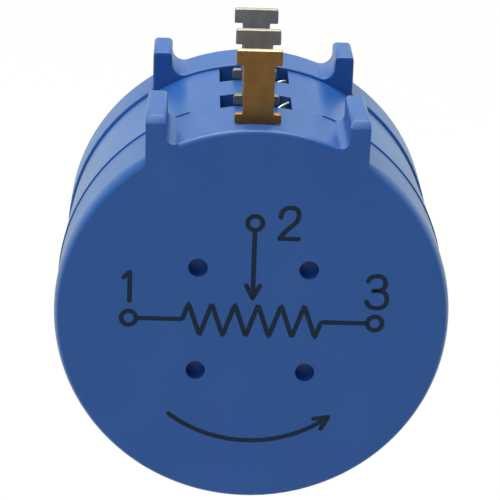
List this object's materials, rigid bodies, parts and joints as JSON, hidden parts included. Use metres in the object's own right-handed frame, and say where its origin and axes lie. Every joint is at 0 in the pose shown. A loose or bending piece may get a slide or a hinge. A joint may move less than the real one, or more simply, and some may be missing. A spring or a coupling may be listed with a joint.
{
  "type": "multiturn potentiometer",
  "caption": "Multiturn panel potentiometer with a round moulded body, guard lugs, in-line solder terminals, a bushing and a slotted shaft that leads a wiper along a wound helix.",
  "frame": {"origin": "on the shaft axis, in the mounting face where the bushing leaves the front housing", "axes": "+Y along the shaft, away from the body; +Z towards the solder terminals; the rear cover faces -Y"},
  "size_m": [0.0222, 0.0397, 0.0264],
  "materials": {
    "blue_plastic": "semi-gloss moulded plastic",
    "black_plastic": "matt moulded plastic",
    "plated_brass": "nickel plate over turned brass",
    "turned_steel": "fine turned steel",
    "spring_steel": "dark spring steel",
    "gold_bronze": "gold flashed bronze strip",
    "tinned_metal": "dull tinned strip",
    "resistance_wire": "close wound resistance wire"
  },
  "bodies": {
    "housing": {"front_housing": "blue_plastic", "barrel": "blue_plastic", "rear_cover": "blue_plastic", "bushing": "plated_brass", "resistance_element": "resistance_wire", "terminal_rear": "gold_bronze", "terminal_middle": "tinned_metal", "terminal_front": "tinned_metal", "element_link": "tinned_metal", "slip_ring_brush": "gold_bronze"},
    "rotor_assembly": {"shaft": "turned_steel", "rotor": "black_plastic", "retaining_ring": "spring_steel", "thrust_washer": "spring_steel", "slip_ring": "gold_bronze", "collector_bar": "gold_bronze"},
    "carriage": {"wiper_carriage": "black_plastic", "wiper_contact": "gold_bronze", "collector_contact": "gold_bronze", "contact_post": "gold_bronze"}
  },
  "joints": [
    {"name": "shaft_turn", "type": "hinge", "parent": "housing", "child": "rotor_assembly", "pos_m": [0, 0, 0], "axis": [0, 1, 0], "range_deg": [-1800, 1800]},
    {"name": "carriage_slide", "type": "slide", "parent": "rotor_assembly", "child": "carriage", "axis": [0, 1, 0], "range_m": [-0.0036, 0.0036]}
  ],
  "couplings": [
    {"joint": "carriage_slide", "follows": "shaft_turn", "m_per_rad": 0.00011141}
  ]
}
